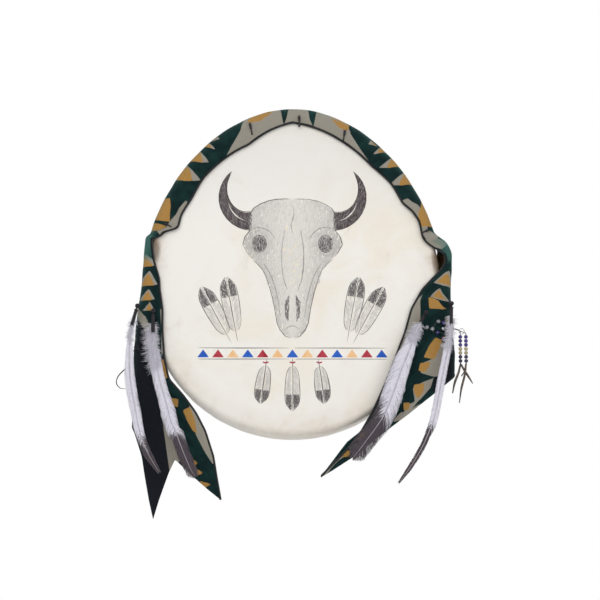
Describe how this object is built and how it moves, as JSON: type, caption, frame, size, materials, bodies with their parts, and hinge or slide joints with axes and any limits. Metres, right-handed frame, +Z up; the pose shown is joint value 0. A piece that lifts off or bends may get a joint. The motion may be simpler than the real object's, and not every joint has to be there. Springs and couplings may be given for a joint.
{
  "type": "frame drum",
  "caption": "Egg-shaped hand drum: bent-wood hoop, laced rawhide head with a rear grip, stitched wool strip with hanging tails, swinging feathers and a bead drop.",
  "frame": {"origin": "centre of the hand grip, where the laces cross, in the plane of the lacing", "axes": "+X to the player's right when facing the head, +Y from the head to the open back, +Z up"},
  "size_m": [0.4785, 0.1008, 0.5585],
  "materials": {
    "wood": "satin",
    "rawhide": "matte",
    "lace": "matte",
    "grip_leather": "matte",
    "wool": "matte",
    "binding": "matte",
    "thread": "matte",
    "dark_leather": "satin",
    "feather": "matte",
    "purple_glass": "gloss",
    "tan_bead": "gloss",
    "dark_glass": "gloss",
    "clear_glass": "gloss",
    "brown_ring": "gloss",
    "silver": "gloss"
  },
  "bodies": {
    "root": {"hoop": "wood", "drumhead": "rawhide", "lacing_top": "lace", "lacing_left": "lace", "lacing_bottom": "lace", "lacing_right": "lace", "grip_wrap_top": "grip_leather", "grip_wrap_left": "grip_leather", "grip_wrap_bottom": "grip_leather", "grip_wrap_right": "grip_leather", "grip_hub": "grip_leather", "blanket_strip": "wool", "edge_binding": "binding", "tack_stitches": "thread", "stem_left_outer": "dark_leather", "stem_left_inner": "dark_leather", "stem_right_inner": "dark_leather", "stem_right_outer": "dark_leather", "stem_bead_drop": "dark_leather", "cluster_thong": "dark_leather", "tie_left": "dark_leather", "curl_left": "dark_leather", "cluster_bead_silver": "silver", "cluster_beads_purple": "purple_glass", "cluster_beads_clear": "clear_glass", "cluster_ring": "brown_ring"},
    "left_outer_feather": {"thong_left_outer": "dark_leather", "wrap_left_outer": "dark_leather", "feather_left_outer": "feather"},
    "left_inner_feather": {"thong_left_inner": "dark_leather", "wrap_left_inner": "dark_leather", "feather_left_inner": "feather"},
    "right_inner_feather": {"thong_right_inner": "dark_leather", "wrap_right_inner": "dark_leather", "feather_right_inner": "feather"},
    "right_outer_feather": {"thong_right_outer": "dark_leather", "wrap_right_outer": "dark_leather", "feather_right_outer": "feather"},
    "bead_drop": {"drop_thong": "dark_leather", "drop_ring": "silver", "drop_ends": "dark_leather", "drop_beads_purple": "purple_glass", "drop_beads_tan": "tan_bead", "drop_beads_dark": "dark_glass"}
  },
  "joints": [
    {"name": "left_outer_swing", "type": "hinge", "parent": "root", "child": "left_outer_feather", "pos_m": [-0.208, -0.0845, -0.027], "axis": [0, 1, 0], "range_deg": [-35, 35]},
    {"name": "left_inner_swing", "type": "hinge", "parent": "root", "child": "left_inner_feather", "pos_m": [-0.187, -0.08, -0.033], "axis": [0, 1, 0], "range_deg": [-35, 35]},
    {"name": "right_inner_swing", "type": "hinge", "parent": "root", "child": "right_inner_feather", "pos_m": [0.179, -0.0855, -0.036], "axis": [0, 1, 0], "range_deg": [-35, 35]},
    {"name": "right_outer_swing", "type": "hinge", "parent": "root", "child": "right_outer_feather", "pos_m": [0.213, -0.09, -0.024], "axis": [0, 1, 0], "range_deg": [-35, 35]},
    {"name": "bead_drop_swing", "type": "hinge", "parent": "root", "child": "bead_drop", "pos_m": [0.214, -0.08, -0.057], "axis": [0, 1, 0], "range_deg": [-35, 35]}
  ]
}
